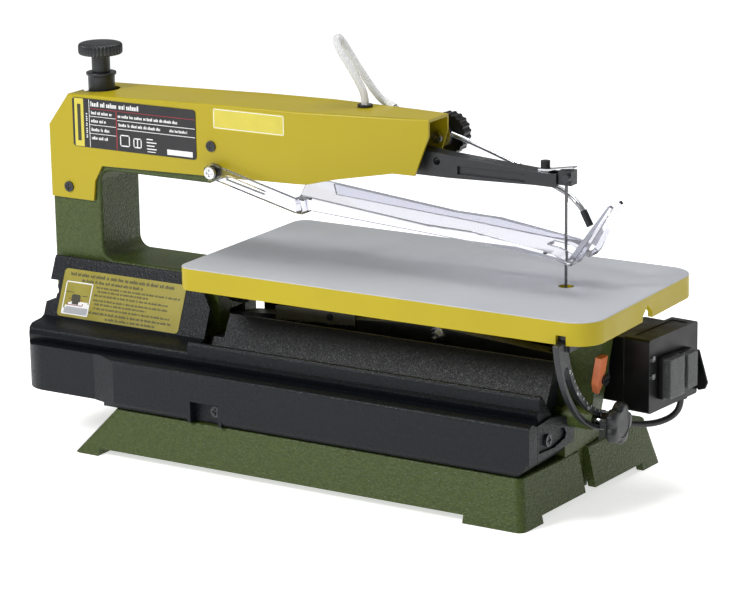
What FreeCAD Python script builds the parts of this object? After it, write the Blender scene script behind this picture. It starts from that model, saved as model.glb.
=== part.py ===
import FreeCAD, Part
import math
import os

import Sketcher

# Scroll saw. Millimetres, +Z up, +X towards the operator's end, -Y towards the drive housing.
# The origin is the centre of the bench-bolt pattern, on the plane that the feet stand on.

V = FreeCAD.Vector
doc = FreeCAD.newDocument("scroll_saw")
sheet = doc.addObject("Spreadsheet::Sheet", "Dims")

DRIVING = {
    # base casting
    "base_rear": -209, "base_front": 206, "base_half": 102, "base_skew": 7.1, "base_top": 38,
    "top_rear": -175, "top_front": 198, "top_half": 91, "base_wall": 6, "base_corner": 7,
    "foot_height": 6, "foot_rear_end": -185, "foot_front_start": 148, "foot_inner": 73,
    "hole_x": 190, "hole_y": 88, "hole_radius": 3.2,
    # frame casting
    "frame_half": 27, "frame_rear": -276.5, "column_front": -228, "shoulder_end": -116,
    "shoulder_top": 140, "arm_under": 214, "arm_top": 262, "arm_end": -105,
    "frame_wall": 5, "beam_half": 20, "beam_top": 82, "beam_end": 196, "throat_radius": 10,
    # moving arms
    "pivot_x": -200, "upper_z": 248, "lower_z": 75, "link_x": -243, "arm_half": 7,
    "pin_radius": 4, "bush_radius": 6, "running_gap": 0.05,
    # blade
    "blade_x": 181, "blade_low": 106, "blade_high": 246, "blade_width": 2.5, "blade_thick": 0.5,
    # table
    "table_rear": -112, "table_front": 248, "table_half": 90, "table_top": 162,
    "plate_thick": 8, "skirt_depth": 18, "skirt_wall": 4, "front_corner": 22, "rear_corner": 12,
    "tilt_z": 159, "arc_outer": 99.5, "arc_inner": 84.5, "arc_x": 221, "arc_thick": 5,
    "stud_y": -27.9, "stud_z": 70.7, "stud_radius": 3,
    # upper-arm cover
    "cover_half": 29.5, "cover_wall": 2.1, "collar_hole": 15,
    # switch box
    "box_turn": 6, "box_x": 250, "box_y": 1, "box_z": 71, "box_width": 69, "box_height": 57,
    "box_depth": 22,
    # drive
    "motor_x": -150, "motor_z": 66, "motor_radius": 21, "throw_mm": 1.3, "shaft_radius": 4,
    # guard
    "guard_x": -112, "guard_z": 226, "guard_half": 25, "guard_thick": 2.5,
    # small parts
    "cable_radius": 2.5, "hose_radius": 3, "tube_radius": 2,
    "knob_radius": 18, "star_radius": 16.5, "air_knob_radius": 16.5,
}
for row, (alias, value) in enumerate(DRIVING.items(), 1):
    sheet.set("A%d" % row, alias)
    sheet.set("B%d" % row, str(value))
    sheet.setAlias("B%d" % row, alias)
doc.recompute()


class Size:
    """A length in millimetres, with the spreadsheet expression that gives it."""

    def __init__(self, value, text):
        self.value = value
        self.text = text

    def _with(self, other, sign, value):
        return Size(value, "(%s %s %s)" % (self.text, sign, size(other).text))

    def __add__(self, other):
        return self._with(other, "+", self.value + size(other).value)

    def __sub__(self, other):
        return self._with(other, "-", self.value - size(other).value)

    def __mul__(self, other):
        return self._with(other, "*", self.value * size(other).value)

    def __truediv__(self, other):
        return self._with(other, "/", self.value / size(other).value)

    def __neg__(self):
        return Size(-self.value, "(0 - %s)" % self.text)


def size(number):
    return number if isinstance(number, Size) else Size(float(number), repr(float(number)))


def dim(alias):
    return Size(float(sheet.get(alias)), "Dims." + alias)


def bind(thing, prop, number):
    number = size(number)
    if "." not in prop:
        setattr(thing, prop, number.value)
    if "Dims." in number.text:
        thing.setExpression(prop, number.text)


def put(thing, x, y, z, turn=None):
    """Places an object at (x, y, z), turned by a rotation, with its place bound to the sheet."""
    spot = [size(x), size(y), size(z)]
    thing.Placement = FreeCAD.Placement(V(*[each.value for each in spot]), turn or FreeCAD.Rotation())
    for axis, each in zip("xyz", spot):
        bind(thing, "Placement.Base." + axis, each)
    return thing


ALONG = {
    "X": FreeCAD.Rotation(V(0, 1, 0), 90),
    "Y": FreeCAD.Rotation(V(1, 0, 0), -90),
    "Z": FreeCAD.Rotation(),
}


def block(x0, x1, y0, y1, z0, z1):
    thing = doc.addObject("Part::Box", "Block")
    for prop, low, high in (("Length", x0, x1), ("Width", y0, y1), ("Height", z0, z1)):
        bind(thing, prop, size(high) - low)
    return put(thing, x0, y0, z0)


def rod(axis, x, y, z, radius, length):
    """A cylinder that starts at (x, y, z) and runs along +axis."""
    thing = doc.addObject("Part::Cylinder", "Rod")
    bind(thing, "Radius", radius)
    bind(thing, "Height", length)
    return put(thing, x, y, z, ALONG[axis])


def cone(axis, x, y, z, radius, end_radius, length):
    thing = doc.addObject("Part::Cone", "Cone")
    bind(thing, "Radius1", radius)
    bind(thing, "Radius2", end_radius)
    bind(thing, "Height", length)
    return put(thing, x, y, z, ALONG[axis])


def draw(sketch, points):
    """Draws a closed outline, each corner dimensioned from the sketch's origin."""
    points = [(size(a), size(b)) for a, b in points]
    count = len(points)
    for i, (a, b) in enumerate(points):
        c, d = points[(i + 1) % count]
        sketch.addGeometry(Part.LineSegment(V(a.value, b.value, 0), V(c.value, d.value, 0)))
    for i, (a, b) in enumerate(points):
        sketch.addConstraint(Sketcher.Constraint("Coincident", i, 2, (i + 1) % count, 1))
        for kind, each in (("DistanceX", a), ("DistanceY", b)):
            index = sketch.addConstraint(Sketcher.Constraint(kind, -1, 1, i, 1, each.value))
            if "Dims." in each.text:
                sketch.setExpression("Constraints[%d]" % index, each.text)


def pad(plane, points, low, high):
    """A PartDesign body: an outline in a plane, padded from low to high along that plane's normal."""
    body = doc.addObject("PartDesign::Body", "Profile")
    sketch = body.newObject("Sketcher::SketchObject", "Outline")
    support = [each for each in body.Origin.OriginFeatures if each.Role == plane + "_Plane"][0]
    sketch.AttachmentSupport = [(support, "")]
    sketch.MapMode = "FlatFace"
    low, high = size(low), size(high)
    start = -high if plane == "XZ" else low
    sketch.AttachmentOffset = FreeCAD.Placement(V(0, 0, start.value), FreeCAD.Rotation())
    if "Dims." in start.text:
        sketch.setExpression("AttachmentOffset.Base.z", start.text)
    draw(sketch, points)
    feature = body.newObject("PartDesign::Pad", "Pad")
    feature.Profile = sketch
    bind(feature, "Length", high - low)
    return body


def loft(sections):
    """A solid between outlines that lie level, one above the other."""
    outlines = []
    for points, height in sections:
        sketch = doc.addObject("Sketcher::SketchObject", "Section")
        put(sketch, 0, 0, height)
        draw(sketch, points)
        outlines.append(sketch)
    thing = doc.addObject("Part::Loft", "Loft")
    thing.Sections = outlines
    thing.Solid = True
    thing.Ruled = True
    return thing


def cut(base, *tools):
    for tool in tools:
        thing = doc.addObject("Part::Cut", "Cut")
        thing.Base = base
        thing.Tool = tool
        base = thing
    return base


def fuse(*shapes):
    thing = doc.addObject("Part::MultiFuse", "Fuse")
    thing.Shapes = list(shapes)
    thing.Refine = True
    return thing


def common(first, second):
    thing = doc.addObject("Part::Common", "Common")
    thing.Base = first
    thing.Tool = second
    return thing


def group(*shapes):
    """Separate solids that share one node, such as a set of equal screws."""
    thing = doc.addObject("Part::Compound", "Group")
    thing.Links = list(shapes)
    return thing


def rounded(base, radius, choose):
    """Rounds each edge that the choose function picks by its middle point and direction."""
    doc.recompute()
    picks = []
    for index, edge in enumerate(base.Shape.Edges, 1):
        middle = edge.valueAt((edge.FirstParameter + edge.LastParameter) / 2)
        span = edge.valueAt(edge.LastParameter) - edge.valueAt(edge.FirstParameter)
        straight = span.Length > 0.1 and abs(span.Length - edge.Length) < 1e-4
        line = span / span.Length if straight else V()
        if choose(middle, line):
            picks.append((index, radius, radius))
    if not picks:
        raise RuntimeError("no edge to round on " + base.Label)
    thing = doc.addObject("Part::Fillet", "Fillet")
    thing.Base = base
    thing.Edges = picks
    return thing


def near(value, target, slack=0.6):
    return abs(value - target) < slack


def at_spots(spots, along):
    """Chooses the straight edges along an axis that pass one of the spots, given in that plane."""
    others = [i for i in range(3) if i != "XYZ".index(along)]

    def choose(middle, line):
        if abs(line["XYZ".index(along)]) < 0.99:
            return False
        place = [middle[i] for i in others]
        return any(near(place[0], a) and near(place[1], b) for a, b in spots)

    return choose


pieces = {}


def piece(name, thing):
    thing.Label = name
    pieces[name] = thing
    return thing


def screw_head(axis, x, y, z, radius, height):
    """A pan head with a cross recess, its outer face at the +axis end."""
    head = rod(axis, x, y, z, radius, height)
    long, short, deep = radius * 0.62, radius * 0.18, height * 0.45
    if axis == "Y":
        slots = [block(x - a, x + a, y - 1, y + deep, z - b, z + b) for a, b in ((long, short), (short, long))]
    elif axis == "X":
        outer = x + height
        slots = [block(outer - deep, outer + 1, y - a, y + a, z - b, z + b)
                 for a, b in ((long, short), (short, long))]
    return cut(head, *slots)


# ---------------------------------------------------------------- base casting

def frustum(inset, low, high, low_z, high_z):
    """The base's drafted block; its front runs slightly out of square, as base_skew says."""
    skew = dim("base_skew")
    outlines = []
    for rear, front, half, z in (low + (low_z,), high + (high_z,)):
        rear, front, half = rear + inset, front - inset, half - inset
        outlines.append(([(rear, -half), (front - skew, -half), (front + skew, half), (rear, half)], z))
    return loft(outlines)


def base_casting():
    low = (dim("base_rear"), dim("base_front"), dim("base_half"))
    high = (dim("top_rear"), dim("top_front"), dim("top_half"))
    top, wall, foot = dim("base_top"), dim("base_wall"), dim("foot_height")
    outer = frustum(0, low, high, 0, top)
    outer = rounded(outer, dim("base_corner").value, lambda middle, line: abs(line.z) > 0.5)
    outer = rounded(outer, 2.0, lambda middle, line: middle.z > top.value - 0.1)
    hollow = frustum(wall, low, high, -1, top - wall)
    reach = dim("base_half") + 10
    span = block(dim("foot_rear_end"), dim("foot_front_start"), -reach, reach, -1, foot)
    gap = block(dim("base_rear") - 10, dim("base_front") + 20, -dim("foot_inner"), dim("foot_inner"), -1, foot)
    slot = block(194, dim("base_front") + 20, -11, 3.4, foot, top + 1)
    shell = cut(outer, hollow)
    pads, holes = [block(184, 196, -14, 6.4, foot, top - 1)], []
    for x in (-dim("hole_x"), dim("hole_x")):
        for y in (-dim("hole_y"), dim("hole_y")):
            pads.append(rod("Z", x, y, 0, 8, 13))
            holes.append(rod("Z", x, y, -1, dim("hole_radius"), 20))
    feet = common(fuse(*pads), frustum(0, low, high, 0, top))
    bolts = [rod("Z", x, 0, 20, 3, 30) for x in BOLT_X]
    piece("base_casting", cut(fuse(shell, feet), span, gap, slot, *(holes + bolts)))


BOLT_X = (-150, -50, 60, 160)


def base_bolts():
    bolts = []
    under = dim("base_top") - dim("base_wall")
    for x in BOLT_X:
        head = cut(rod("Z", x, 0, under - 6, 5, 6), rod("Z", x, 0, under - 7, 2.5, 4))
        bolts.append(fuse(head, rod("Z", x, 0, under - 2, 3, 15)))
    piece("base_bolts", group(*bolts))


# ---------------------------------------------------------------- frame casting

def frame_casting():
    half, wall = dim("frame_half"), dim("frame_wall")
    rear, front, end = dim("frame_rear"), dim("column_front"), dim("shoulder_end")
    under, top, shoulder = dim("arm_under"), dim("arm_top"), dim("shoulder_top")
    floor = dim("base_top")
    outline = [
        (rear, floor + 4), (rear, 187), (rear + 4, 187.5), (rear + 4, 244), (rear + 22, top),
        (dim("arm_end"), top), (dim("arm_end"), under + 9), (-122, under), (front, under),
        (front, shoulder), (end, shoulder), (end, floor), (-176, floor), (-178, floor + 4),
    ]
    shell = pad("XZ", outline, -half, half)
    inner = [(front.value, under.value), (front.value, shoulder.value)]
    shell = rounded(shell, dim("throat_radius").value, at_spots(inner, "Y"))

    def long_edges(middle, line):
        low_rear = near(middle.x, rear.value) and abs(line.z) > 0.9
        throat = near(middle.x, front.value) and abs(line.z) > 0.9
        ledge = near(middle.z, shoulder.value) and abs(line.x) > 0.9
        return near(abs(middle.y), half.value) and (low_rear or throat or ledge)

    shell = rounded(shell, 2.5, long_edges)
    room_half = half - wall
    rooms = [
        block(rear + 6, front - wall, -20, 20, floor + 8, 250),
        block(rear + 6, end - wall, -room_half, room_half, floor + 8, shoulder - 6),
        block(rear + 6, dim("arm_end") + 1, -13, 13, under + 8, top + 1),
        block(end - wall - 1, end + 1, -11, 11, dim("beam_top"), 109),
    ]
    shell = cut(shell, *rooms)
    beam_half, beam_end = dim("beam_half"), dim("beam_end")
    beam = block(end - 1, beam_end, -beam_half, beam_half, floor, dim("beam_top"))
    hollow = block(end + 6, beam_end - 24, -beam_half + 5, beam_half - 5, floor + 10, dim("beam_top") - 5)
    front_block = block(172, beam_end, -30, 26, floor, 74)
    post = pad("XZ", [(193, 70), (212.2, 70), (213.5, 78), (222, 129.5), (193, 129.5)], -20, -2)
    boss = rod("X", beam_end - 1, dim("stud_y"), dim("stud_z"), 8, dim("arc_x") - beam_end + 0.7)
    casting = cut(fuse(shell, cut(beam, hollow), front_block, post, boss), *frame_holes())
    piece("frame_casting", casting)


def frame_holes():
    half = dim("frame_half")
    pins = [rod("Y", dim("pivot_x"), -half - 1, dim(z), dim("pin_radius"), half * 2 + 2)
            for z in ("upper_z", "lower_z")]
    shaft = rod("Y", dim("motor_x"), -half - 1, dim("motor_z"), 7, 12)
    bolts = [rod("Z", x, 0, 30, 3, 16) for x in BOLT_X]
    stud = rod("X", 206, dim("stud_y"), dim("stud_z"), dim("stud_radius"), 30)
    guide = rod("X", dim("shoulder_end") - 12, *GUIDE, 3, 20)
    gland = rod("X", dim("beam_end") - 8, 8, 57, 4, 20)
    return pins + [shaft, stud, guide, gland] + bolts


GUIDE_RADIUS = 37
GUIDE_ANGLE = math.radians(14)
GUIDE = (-GUIDE_RADIUS * math.sin(GUIDE_ANGLE), 159 - GUIDE_RADIUS * math.cos(GUIDE_ANGLE))


def pivot_pins():
    half = dim("frame_half")
    pins = [rod("Y", dim("pivot_x"), -half, dim(height), dim("pin_radius"), half * 2)
            for height in ("upper_z", "lower_z")]
    piece("pivot_pins", group(*pins))


# ---------------------------------------------------------------- upper-arm cover

COVER_SIDE = [
    (-276, 188.5), (-276, 248), (-256, 274.5), (-98, 278.8), (72, 281), (72, 268), (60.5, 237),
    (42.6, 237.5), (-5, 229), (-30, 223), (-75, 221.5), (-224, 218.2), (-231.5, 205), (-233.5, 188.5),
]


def cover_plan(inset):
    half = dim("cover_half") - inset
    return [(-290, -half), (-38, -half), (43, -(dim("cover_half") - 9.5 - inset)), (90, -(12.5 - inset)),
            (90, 12.5 - inset), (43, dim("cover_half") - 9.5 - inset), (-38, half), (-290, half)]


def arm_cover():
    half, wall = dim("cover_half"), dim("cover_wall")
    outer = common(pad("XZ", COVER_SIDE, -half - 2, half + 2), pad("XY", cover_plan(0), 150, 300))

    def soft(middle, line):
        top_edge = middle.z > 240 and abs(line.x) > 0.9 and middle.x < 70
        rear_edge = middle.x < -254 and abs(line.y) < 0.1 and middle.z > 192
        return (top_edge or rear_edge) and abs(middle.y) > 12

    outer = rounded(outer, 1.5, soft)
    room = [
        (-273.6, 150), (-273.6, 247), (-255, 272), (-98, 276.4), (69, 278.6), (100, 278.6), (100, 150),
    ]
    inner = common(pad("XZ", room, -half, half), pad("XY", cover_plan(wall.value), 140, 310))
    shell = cut(outer, inner, rod("Z", dim("link_x"), 0, 260, dim("collar_hole"), 30))
    ports = [rod("Z", 1, 10, 270, 4, 15), rod("Y", 64, 8, 262, 2.5, 12),
             rod("Y", dim("guard_x"), -40, dim("guard_z"), 2.5, 20)]
    screws = [rod("Y", x, -40, z, 2.5, 80) for x, z in COVER_SCREWS]
    piece("arm_cover", cut(shell, *(ports + screws)))
    heads = []
    for x, z in COVER_SCREWS:
        near_side = fuse(screw_head("Y", x, -half - 1.2, z, 4.3, 1.2), rod("Y", x, -half, z, 2.5, 2.4))
        far_side = fuse(rod("Y", x, half, z, 4.3, 1.2), rod("Y", x, half - 2.4, z, 2.5, 3))
        heads += [near_side, far_side]
    piece("cover_screws", group(*heads))
    piece("rating_plate", block(-251, -131, -half - 0.5, -half, 232.5, 272.5))


COVER_SCREWS = ((-257.4, 198), (-117, 245))


# ---------------------------------------------------------------- drive housing

HIGH_OUTER = [
    (-30.6, 139.5), (-32.5, 139.5), (-34, 137), (-52, 94), (-56, 92), (-69, 91), (-75, 89), (-76, 87),
    (-79, 85), (-79, 83.5), (-77, 79), (-84, 77.5), (-90, 80.5), (-95, 78.5), (-95, 38.8), (-30.6, 38.8),
]
HIGH_INNER = [
    (-20, 137), (-31, 137), (-49, 92.5), (-55, 89), (-68, 88), (-72, 86), (-73, 76), (-84, 74.2),
    (-89, 76), (-92, 75), (-92, 41.8), (-20, 41.8),
]
LOW_OUTER = [
    (-30.6, 112), (-33, 112), (-47, 86), (-50, 80.5), (-58, 80.5), (-70.5, 96), (-72, 97.2), (-74, 97),
    (-75.5, 95), (-76, 87), (-79, 85), (-79, 83.5), (-77, 79), (-84, 77.5), (-90, 80.5), (-95, 78.5),
    (-95, 38.8), (-30.6, 38.8),
]
LOW_INNER = [
    (-20, 109), (-31, 109), (-44.4, 84.5), (-48.6, 77.5), (-59.2, 77.5), (-72, 93), (-73, 76),
    (-84, 74.2), (-89, 76), (-92, 75), (-92, 41.8), (-20, 41.8),
]


def drive_housing():
    rear, split, end = -272, -113.6, 198
    high = pad("YZ", HIGH_OUTER, rear, split)
    trim = [
        block(rear - 1, -263, -60, -20, 104, 121),
        block(rear - 1, -196, -100, -88, 30, 100),
        block(rear - 1, -185, -100, -20, 30, 42),
    ]
    facet = pad("XY", [(-197, -88), (-172, -95.1), (-172, -100), (-197, -100)], 30, 100)
    end_cut = pad("XZ", [(-112, 145), (-112, 116), (-113.6, 116), (-131, 139), (-133, 145)], -60, -20)
    high = cut(high, *(trim + [facet, end_cut]))
    high = rounded(high, 24, at_spots([(rear, -88)], "Z"))
    high_room = pad("YZ", HIGH_INNER, rear + 3, split + 1)
    limits = [block(rear, -199, -100, -84.5, 30, 100), block(rear, -260, -60, -10, 101, 145),
              block(rear, -185, -100, -10, 30, 45), block(rear, -248, -100, -62, 30, 100)]
    slope_room = pad("XY", [(-199, -84.5), (-172, -92), (-172, -100), (-199, -100)], 30, 100)
    high = cut(high, cut(high_room, *(limits + [slope_room])))
    end_bottom = pad("XZ", [(184, 30), (184, 38.8), (190, 40.5), (195, 44.5), (198, 50), (206, 50), (206, 30)],
                     -100, 0)
    low = cut(pad("YZ", LOW_OUTER, split, end + 2.6), end_bottom,
              block(end + 0.6, end + 5, -82, -20, 30, 120),
              block(split - 1, -101, -52, -20, 94.5, 120), block(190, end + 6, -57.5, -20, 72, 120))
    low_room = cut(pad("YZ", LOW_INNER, split - 1, end - 3),
                   block(split - 2, -98, -52, -10, 91.5, 120), block(183, end, -60, -10, 69.5, 120))
    low = cut(low, cut(low_room, block(182, 202, -100, -10, 30, 54), block(182, 202, -100, -85, 30, 90)))
    ear = cut(pad("YZ", [(-90, 50), (-90, 77), (-62, 78.5), (-44, 75), (-28, 69.5), (-24, 65), (-24, 50)],
                  end - 1.9, end + 2.6),
              pad("YZ", [(-80, 55.6), (-55, 53.8), (-39, 56.5), (-36.5, 60), (-40, 65), (-78, 74), (-80, 72)],
                  end + 0.2, end + 4),
              block(end + 0.6, end + 4, -84.5, -81.5, 40, 90))
    shell = fuse(high, low, ear)
    shell = rounded(shell, 6, at_spots([(-95, 38.8)], "X"))
    shell = rounded(shell, 3.5, at_spots([(-95, 78.5)], "X"))
    recess = block(-99, -73, -96, -87, 32, 56)
    recess_walls = block(-102, -70, -95, -84, 38.8, 59)
    holes = [rod("Y", -79, -90, 49, 2.5, 10), rod("X", 176, -64, 61.6, 2.5, 26),
             rod("Y", -264, -60, 113, 2.5, 40),
             rod("X", 176, dim("stud_y"), dim("stud_z"), 8.4, 30)]
    piece("drive_housing", cut(fuse(shell, recess_walls), recess, *holes))
    heads = [
        fuse(screw_head("Y", -79, -87 - 2.5, 49, 4.5, 2.5), rod("Y", -79, -87, 49, 2.5, 6)),
        fuse(screw_head("X", end + 0.6, -64, 61.6, 4.8, 2), rod("X", end - 14, -64, 61.6, 2.5, 15)),
        fuse(screw_head("Y", -268.5, -31.6, 113, 3.8, 2), rod("Y", -268.5, -30, 113, 2.5, 3)),
    ]
    piece("housing_screws", group(*heads))
    far = pad("YZ", [(20.3, 38.8), (48, 38.8), (48, 106), (38, 118), (14, 118), (14, 83), (20.3, 83)], -100, 168)
    far_room = pad("YZ", [(10, 41.3), (45.5, 41.3), (45.5, 105), (37, 115.5), (10, 115.5)], -97.5, 165.5)
    far = rounded(far, 4, at_spots([(48, 38.8), (48, 106), (38, 118)], "X"))
    piece("far_cover", cut(far, far_room))
    label = doc.addObject("Part::Box", "Label")
    label.Length, label.Width, label.Height = 120, 0.5, 39.5
    piece("instruction_plate", put(label, -259, -52.24, 94.81, FreeCAD.Rotation(V(1, 0, 0), -22.714)))


def lower_drive():
    """Motor plate, motor, shaft, eccentric and connecting rod."""
    x, z = dim("motor_x"), dim("motor_z")
    outline = [(-184, 44), (10, 44), (12, 46), (12, 90), (-184, 90)]
    plate = cut(pad("XZ", outline, -30.2, dim("frame_half") * -1 - 0.2), rod("Y", x, -31, z, 7, 6))
    piece("motor_plate", plate)
    body = fuse(rod("Y", x, -69.4, z, dim("motor_radius"), 39.2), rod("Y", x, -76, z, 9, 7))
    piece("motor_body", cut(body, rod("Y", x, -80, z, dim("shaft_radius") + dim("running_gap"), 60)))
    disc = rod("Y", x + dim("throw_mm"), 8.5, z, 11, 6)
    piece("motor_shaft", fuse(rod("Y", x, -75, z, dim("shaft_radius"), 84), disc))
    ring = rod("Y", x, 8.8, z, 18, 5.4)
    small_end = rod("Y", x, 8.8, 89, 6, 5.4)
    web = block(x - 4.5, x + 4.5, 8.8, 14.2, 80, 90)
    conrod = cut(fuse(ring, small_end, web), rod("Y", x, 8, z, 14, 8),
                 rod("Y", x, 8, 89, dim("running_gap") + 3, 8))
    piece("connecting_rod", conrod)


# ---------------------------------------------------------------- moving arms and blade

def swing_arm(name, outline, height, holes, extras):
    half = dim("arm_half")
    bar = fuse(pad("XZ", outline, -half, half), *extras)
    bore = rod("Y", dim("pivot_x"), -half - 1, height, dim("bush_radius"), half * 2 + 2)
    link = rod("Z", dim("link_x"), 0, height - 30, 4.2, 60)
    piece(name, cut(bar, bore, link, *holes))
    bush = cut(rod("Y", dim("pivot_x"), -half - 0.6, height, dim("bush_radius"), half * 2 + 1.2),
               rod("Y", dim("pivot_x"), -half - 2, height, dim("pin_radius") + dim("running_gap"), half * 2 + 4))
    piece(name + "_bush", bush)


def moving_arms():
    half, upper, lower = dim("arm_half"), dim("upper_z"), dim("lower_z")
    top = [(-253, 237), (-253, 259), (-184, 261), (60, 256), (84, 253.5), (158, 248.4), (166, 248.2),
           (176, 248.2), (176, 238), (158, 238.2), (84, 236), (60, 236), (-184, 236), (-232, 237)]
    slots = [block(92, 150, -half - 1, -half + 2.2, 239.5, 246), block(92, 150, half - 2.2, half + 1, 239.5, 246),
             block(167.5, 177, -3.6, 3.6, 230, 260), rod("Y", 172, -8, 243, 1.55, 16),
             rod("Y", 74, -8, 248, 3, 16), rod("Z", 163.5, 0, 245, 1.5, 10)]
    swing_arm("upper_arm", top, upper, slots, [block(-30, 30, -half, half, 244, 252)])
    bottom = [(-253, 64), (-253, 86), (-216, 88), (-184, 88), (-140, 99), (-100, 107), (60, 118),
              (158, 111), (176, 110), (176, 99.5), (158, 99.5), (60, 101), (-100, 91), (-140, 81), (-184, 62),
              (-216, 62)]
    slots = [block(167.5, 177, -3.6, 3.6, 90, 120), rod("Y", 172, -8, 105, 1.55, 16),
             rod("Y", 74, -8, 111, 2, 12)]
    flat = pad("XZ", [(-74, 104.6), (0, 108.2), (0, 119), (-74, 116)], -half - 1.5, -half + 0.5)
    swing_arm("lower_arm", bottom, lower, slots, [flat, rod("Y", -23, -9.3, 113.4, 2.7, 2)])
    washer = cut(rod("Y", 74, -9, 111, 6.6, 2), rod("Y", 74, -10, 111, 2, 5))
    socket = cut(fuse(rod("Y", 74, -12.5, 111, 3.8, 3.5), rod("Y", 74, -10, 111, 2, 13)),
                 rod("Y", 74, -13, 111, 1.8, 3))
    piece("lower_arm_screw", fuse(washer, socket))
    piece("crank_pin", rod("Y", dim("motor_x"), half, 89, 3, 8))
    spring = pad("XZ", [(159, 248.5), (159, 250), (168, 250.6), (188, 254), (188.3, 253.1), (175, 251.5),
                        (166, 248.6)], -3.5, 3.5)
    piece("arm_spring_plate", cut(spring, rod("Z", 163.5, 0, 245, 1.5, 10)))
    piece("arm_front_screw", fuse(rod("Z", 163.5, 0, 250.7, 3.6, 5.5), rod("Z", 163.5, 0, 245, 1.5, 6)))


def blade_parts():
    x = dim("blade_x")
    width, thick = dim("blade_width"), dim("blade_thick")
    blade = block(x - width / 2, x + width / 2, thick * -0.5, thick * 0.5, dim("blade_low"), dim("blade_high"))
    piece("saw_blade", blade)
    holders = []
    for low, pin_z in ((240, 243), (99, 105)):
        body = fuse(block(176.6, 187.5, -5, 5, low, low + 11), block(169, 177, -3.1, 3.1, pin_z - 3, pin_z + 3))
        slot = block(x - width / 2, x + width / 2, thick * -0.5, thick * 0.5, low - 1, low + 12)
        holders.append(cut(body, slot, rod("Y", 172, -6, pin_z, 1.5, 12), rod("Y", 184.8, -6, low + 6, 1.5, 12)))
    piece("blade_holders", group(*holders))
    screws = [fuse(rod("Y", 184.8, -9, z, 3, 4), rod("Y", 184.8, -5.2, z, 1.5, 9)) for z in (246, 105)]
    piece("blade_clamp_screws", group(*screws))
    pins = [rod("Y", 172, -6.9, z, 1.5, 13.8) for z in (243, 105)]
    piece("blade_pivot_pins", group(*pins))


def tension_parts():
    x = dim("link_x")
    stem = fuse(rod("Z", x, 0, 56, 3, 249.5), rod("Z", x, 0, 56, 7, 6))
    piece("tension_rod", stem)
    bore = rod("Z", x, 0, 240, 3, 60)
    pad_ring = cut(rod("Z", x, 0, 260, 9, 3), bore)
    piece("tension_pad", pad_ring)
    collar = cut(fuse(rod("Z", x, 0, 263, 10.9, 24), rod("Z", x, 0, 286.5, 12.3, 2.5)),
                 rod("Z", x, 0, 240, 3, 60))
    piece("tension_collar", collar)
    cap = rounded(rod("Z", x, 0, 303.5, dim("knob_radius"), 9), 1.5, lambda middle, line: middle.z > 312)
    knob = cut(fuse(cap, rod("Z", x, 0, 289.3, 7.5, 15)), rod("Z", x, 0, 280, dim("running_gap") + 3, 26))
    piece("tension_knob", knob)


# ---------------------------------------------------------------- table and tilt

def sector(x, thick, inner, outer, start, stop):
    thing = doc.addObject("Part::Feature", "Sector")
    tilt = V(0, 0, dim("tilt_z").value)

    def spot(radius, degrees):
        angle = math.radians(degrees)
        return tilt + V(0, -radius * math.sin(angle), -radius * math.cos(angle))

    middle = (start + stop) / 2
    edges = [
        Part.Arc(spot(outer, start), spot(outer, middle), spot(outer, stop)).toShape(),
        Part.LineSegment(spot(outer, stop), spot(inner, stop)).toShape(),
        Part.Arc(spot(inner, stop), spot(inner, middle), spot(inner, start)).toShape(),
        Part.LineSegment(spot(inner, start), spot(outer, start)).toShape(),
    ]
    thing.Shape = Part.Face(Part.Wire(edges)).extrude(V(thick, 0, 0))
    thing.Placement = FreeCAD.Placement(V(x, 0, 0), FreeCAD.Rotation())
    return thing


def saw_table():
    rear, front, half, top = dim("table_rear"), dim("table_front"), dim("table_half"), dim("table_top")
    skirt, wall = dim("skirt_depth"), dim("skirt_wall")
    slab = block(rear, front, -half, half, top - skirt, top)
    corners = [(front.value, -half.value), (front.value, half.value)]
    slab = rounded(slab, dim("front_corner").value, at_spots(corners, "Z"))
    corners = [(rear.value, -half.value), (rear.value, half.value)]
    slab = rounded(slab, dim("rear_corner").value, at_spots(corners, "Z"))
    slab = rounded(slab, 0.8, lambda middle, line: middle.z > top.value - 0.1)
    room = block(rear + wall, front - wall, -half + wall, half - wall, top - skirt - 1, top - dim("plate_thick"))
    corners = [(front.value - wall.value, side * (half.value - wall.value)) for side in (-1, 1)]
    corners += [(rear.value + wall.value, side * (half.value - wall.value)) for side in (-1, 1)]
    room = rounded(room, 9, at_spots(corners, "Z"))
    notch = pad("YZ", [(-6.3, 140), (-6.3, 148), (1.8, 155), (9.6, 148), (9.6, 140)], front - wall - 1, front + 1)
    arc_notch = block(dim("arc_x") - 1.5, dim("arc_x") + 6.5, -half - 1, -half + wall + 1, 143, 151)
    hole = rod("Z", dim("blade_x"), 0, 140, 6, 30)
    piece("saw_table", cut(slab, room, notch, arc_notch, hole))


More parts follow.
